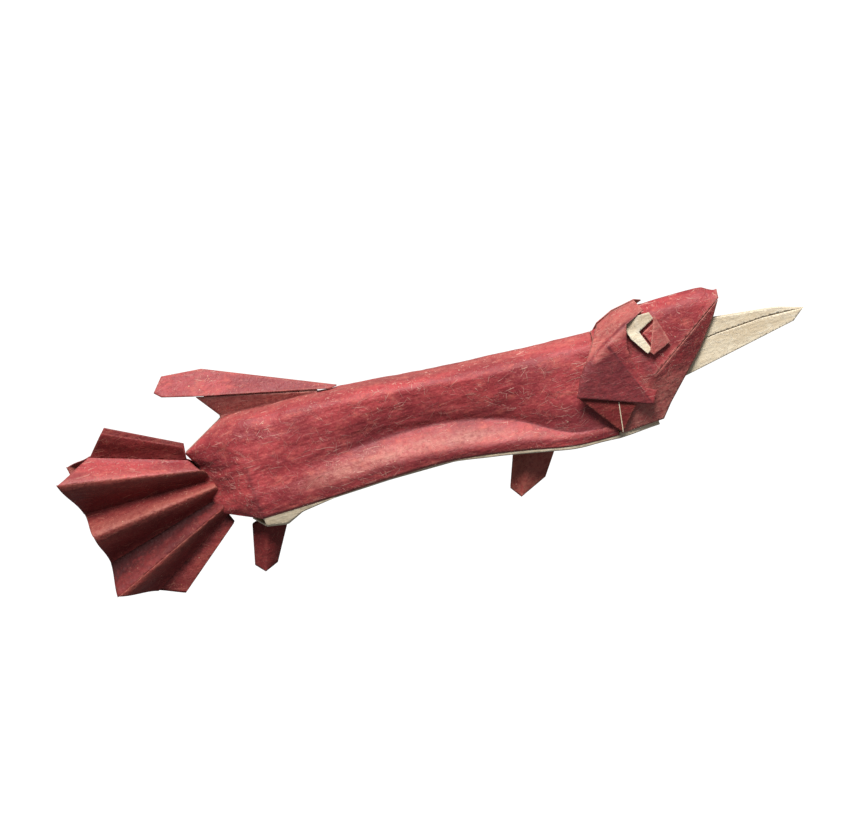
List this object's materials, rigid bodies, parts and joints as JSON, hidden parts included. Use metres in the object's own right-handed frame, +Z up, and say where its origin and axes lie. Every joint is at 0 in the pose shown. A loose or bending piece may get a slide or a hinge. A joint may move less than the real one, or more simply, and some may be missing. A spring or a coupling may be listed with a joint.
{
  "type": "folded paper flying figure",
  "caption": "Long-beaked, fan-tailed flying figure folded from two-tone paper, with a hollow waisted body, stand-off collars, a back fin and folded feet.",
  "frame": {"origin": "centre of the outline seen from above, at the level of the feet's tips", "axes": "+X towards the beak, +Y to the figure's left side, +Z up"},
  "size_m": [0.2043, 0.0246, 0.0589],
  "materials": {
    "red_paper": "handmade, fibrous",
    "cream_paper": "handmade, fibrous"
  },
  "bodies": {
    "body": {"back": "red_paper", "right_flank": "red_paper", "left_flank": "red_paper", "right_band": "red_paper", "left_band": "red_paper", "right_hem": "red_paper", "left_hem": "red_paper", "belly_lining": "cream_paper", "belly_tab": "cream_paper", "right_rump": "red_paper", "left_rump": "red_paper", "crown": "red_paper", "right_cheek": "red_paper", "left_cheek": "red_paper", "right_eye_rim": "cream_paper", "left_eye_rim": "cream_paper", "right_iris": "red_paper", "left_iris": "red_paper"},
    "tail": {"tail_stem": "red_paper"},
    "beak": {"beak_core": "cream_paper", "right_beak_upper": "cream_paper", "right_beak_lower": "cream_paper", "left_beak_upper": "cream_paper", "left_beak_lower": "cream_paper"},
    "back_fin": {"right_back_fin_roof": "red_paper", "left_back_fin_roof": "red_paper", "right_back_fin_wall": "red_paper", "left_back_fin_wall": "red_paper"},
    "front_feet": {"right_front_foot": "red_paper", "left_front_foot": "red_paper"},
    "rear_feet": {"right_rear_foot": "red_paper", "left_rear_foot": "red_paper"},
    "right_pleat_1": {"right_pleat_1": "red_paper"},
    "right_pleat_2": {"right_pleat_2": "red_paper"},
    "right_pleat_3": {"right_pleat_3": "red_paper"},
    "right_pleat_4": {"right_pleat_4": "red_paper"},
    "right_pleat_5": {"right_pleat_5": "red_paper"},
    "right_pleat_6": {"right_pleat_6": "red_paper"},
    "right_pleat_7": {"right_pleat_7": "red_paper"},
    "right_pleat_8": {"right_pleat_8": "red_paper"},
    "right_collar": {"right_collar_top": "red_paper", "right_collar_panel": "red_paper", "right_collar_pleat": "red_paper", "right_collar_under": "red_paper"},
    "right_eyelid": {"right_eyelid": "red_paper"},
    "left_pleat_1": {"left_pleat_1": "red_paper"},
    "left_pleat_2": {"left_pleat_2": "red_paper"},
    "left_pleat_3": {"left_pleat_3": "red_paper"},
    "left_pleat_4": {"left_pleat_4": "red_paper"},
    "left_pleat_5": {"left_pleat_5": "red_paper"},
    "left_pleat_6": {"left_pleat_6": "red_paper"},
    "left_pleat_7": {"left_pleat_7": "red_paper"},
    "left_pleat_8": {"left_pleat_8": "red_paper"},
    "left_collar": {"left_collar_top": "red_paper", "left_collar_panel": "red_paper", "left_collar_pleat": "red_paper", "left_collar_under": "red_paper"},
    "left_eyelid": {"left_eyelid": "red_paper"}
  },
  "joints": [
    {"name": "tail_turn", "type": "hinge", "parent": "body", "child": "tail", "pos_m": [-0.0619, 0, 0.026], "axis": [0, 0, 1], "range_deg": [-12, 12], "stiffness_Nm_per_rad": 0.02},
    {"name": "right_pleat_3_fold", "type": "hinge", "parent": "tail", "child": "right_pleat_3", "pos_m": [-0.06899, -0.0008, 0.02809], "axis": [-0.9997, 0, 0.0244], "range_deg": [-3.83, 1.73]},
    {"name": "right_pleat_2_fold", "type": "hinge", "parent": "right_pleat_3", "child": "right_pleat_2", "pos_m": [-0.0681, -0.00467, 0.03275], "axis": [-0.9624, -0.1614, 0.2186], "range_deg": [-5.48, 12.26]},
    {"name": "right_pleat_1_fold", "type": "hinge", "parent": "right_pleat_2", "child": "right_pleat_1", "pos_m": [-0.06779, -0.0008, 0.03504], "axis": [-0.9494, 0, 0.314], "range_deg": [-17.42, 7.77]},
    {"name": "fan_close", "type": "hinge", "parent": "tail", "child": "right_pleat_4", "pos_m": [-0.06899, -0.0008, 0.02809], "axis": [-0.9997, 0, 0.0244], "range_deg": [-4, 9], "stiffness_Nm_per_rad": 0.02},
    {"name": "right_pleat_5_fold", "type": "hinge", "parent": "right_pleat_4", "child": "right_pleat_5", "pos_m": [-0.06867, -0.00433, 0.02576], "axis": [-0.9864, -0.1472, -0.0724], "range_deg": [-13.48, 6.02]},
    {"name": "right_pleat_6_fold", "type": "hinge", "parent": "right_pleat_5", "child": "right_pleat_6", "pos_m": [-0.06817, -0.0008, 0.02125], "axis": [-0.9655, 0, -0.2605], "range_deg": [-6, 13.44]},
    {"name": "right_pleat_7_fold", "type": "hinge", "parent": "right_pleat_6", "child": "right_pleat_7", "pos_m": [-0.06689, -0.00403, 0.01821], "axis": [-0.9121, -0.1345, -0.3872], "range_deg": [-17.82, 7.95]},
    {"name": "right_pleat_8_fold", "type": "hinge", "parent": "right_pleat_7", "child": "right_pleat_8", "pos_m": [-0.06555, -0.0008, 0.0151], "axis": [-0.8563, 0, -0.5165], "range_deg": [-7.94, 17.8]},
    {"name": "right_collar_open", "type": "hinge", "parent": "body", "child": "right_collar", "pos_m": [0.0589, -0.0083, 0.0186], "axis": [0.1092, 0.0637, 0.992], "range_deg": [-1, 25], "stiffness_Nm_per_rad": 0.01},
    {"name": "right_eyelid_lift", "type": "hinge", "parent": "body", "child": "right_eyelid", "pos_m": [0.0672, -0.007, 0.03], "axis": [-0.2619, -0.0357, 0.9644], "range_deg": [0, 35], "stiffness_Nm_per_rad": 0.004},
    {"name": "left_pleat_3_fold", "type": "hinge", "parent": "tail", "child": "left_pleat_3", "pos_m": [-0.06899, 0.0008, 0.02809], "axis": [-0.9997, 0, 0.0244], "range_deg": [-1.73, 3.83]},
    {"name": "left_pleat_2_fold", "type": "hinge", "parent": "left_pleat_3", "child": "left_pleat_2", "pos_m": [-0.0681, 0.00467, 0.03275], "axis": [-0.9624, 0.1614, 0.2186], "range_deg": [-12.26, 5.48]},
    {"name": "left_pleat_1_fold", "type": "hinge", "parent": "left_pleat_2", "child": "left_pleat_1", "pos_m": [-0.06779, 0.0008, 0.03504], "axis": [-0.9494, 0, 0.314], "range_deg": [-7.77, 17.42]},
    {"name": "left_pleat_4_fold", "type": "hinge", "parent": "tail", "child": "left_pleat_4", "pos_m": [-0.06899, 0.0008, 0.02809], "axis": [-0.9997, 0, 0.0244], "range_deg": [-9.05, 4.05]},
    {"name": "left_pleat_5_fold", "type": "hinge", "parent": "left_pleat_4", "child": "left_pleat_5", "pos_m": [-0.06867, 0.00433, 0.02576], "axis": [-0.9864, 0.1472, -0.0724], "range_deg": [-6.02, 13.48]},
    {"name": "left_pleat_6_fold", "type": "hinge", "parent": "left_pleat_5", "child": "left_pleat_6", "pos_m": [-0.06817, 0.0008, 0.02125], "axis": [-0.9655, 0, -0.2605], "range_deg": [-13.44, 6]},
    {"name": "left_pleat_7_fold", "type": "hinge", "parent": "left_pleat_6", "child": "left_pleat_7", "pos_m": [-0.06689, 0.00403, 0.01821], "axis": [-0.9121, 0.1345, -0.3872], "range_deg": [-7.95, 17.82]},
    {"name": "left_pleat_8_fold", "type": "hinge", "parent": "left_pleat_7", "child": "left_pleat_8", "pos_m": [-0.06555, 0.0008, 0.0151], "axis": [-0.8563, 0, -0.5165], "range_deg": [-17.8, 7.94]},
    {"name": "left_collar_open", "type": "hinge", "parent": "body", "child": "left_collar", "pos_m": [0.0589, 0.0083, 0.0186], "axis": [0.1092, -0.0637, 0.992], "range_deg": [-25, 1], "stiffness_Nm_per_rad": 0.01},
    {"name": "left_eyelid_lift", "type": "hinge", "parent": "body", "child": "left_eyelid", "pos_m": [0.0672, 0.007, 0.03], "axis": [-0.2619, 0.0357, 0.9644], "range_deg": [-35, 0], "stiffness_Nm_per_rad": 0.004},
    {"name": "beak_tilt", "type": "hinge", "parent": "body", "child": "beak", "pos_m": [0.067, 0, 0.0256], "axis": [0, -1, 0], "range_deg": [-7, 7], "stiffness_Nm_per_rad": 0.01},
    {"name": "back_fin_lean", "type": "hinge", "parent": "body", "child": "back_fin", "pos_m": [-0.023, 0, 0.0429], "axis": [-0.9993, 0, 0.0368], "range_deg": [-20, 20], "stiffness_Nm_per_rad": 0.01},
    {"name": "front_feet_swing", "type": "hinge", "parent": "body", "child": "front_feet", "pos_m": [0.0223, 0, 0.0133], "axis": [0, 1, 0], "range_deg": [-12, 12], "stiffness_Nm_per_rad": 0.03},
    {"name": "rear_feet_swing", "type": "hinge", "parent": "body", "child": "rear_feet", "pos_m": [-0.0516, 0, 0.012], "axis": [0, 1, 0], "range_deg": [-12, 12], "stiffness_Nm_per_rad": 0.03}
  ],
  "couplings": [
    {"joint": "right_pleat_3_fold", "follows": "fan_close", "ratio": -0.42},
    {"joint": "right_pleat_2_fold", "follows": "fan_close", "ratio": 1.357},
    {"joint": "right_pleat_1_fold", "follows": "fan_close", "ratio": -1.93},
    {"joint": "right_pleat_5_fold", "follows": "fan_close", "ratio": -1.4917},
    {"joint": "right_pleat_6_fold", "follows": "fan_close", "ratio": 1.4874},
    {"joint": "right_pleat_7_fold", "follows": "fan_close", "ratio": -1.9747},
    {"joint": "right_pleat_8_fold", "follows": "fan_close", "ratio": 1.9728},
    {"joint": "left_pleat_3_fold", "follows": "fan_close", "ratio": 0.42},
    {"joint": "left_pleat_2_fold", "follows": "fan_close", "ratio": -1.357},
    {"joint": "left_pleat_1_fold", "follows": "fan_close", "ratio": 1.93},
    {"joint": "left_pleat_4_fold", "follows": "fan_close", "ratio": -1},
    {"joint": "left_pleat_5_fold", "follows": "fan_close", "ratio": 1.4917},
    {"joint": "left_pleat_6_fold", "follows": "fan_close", "ratio": -1.4874},
    {"joint": "left_pleat_7_fold", "follows": "fan_close", "ratio": 1.9747},
    {"joint": "left_pleat_8_fold", "follows": "fan_close", "ratio": -1.9728}
  ]
}
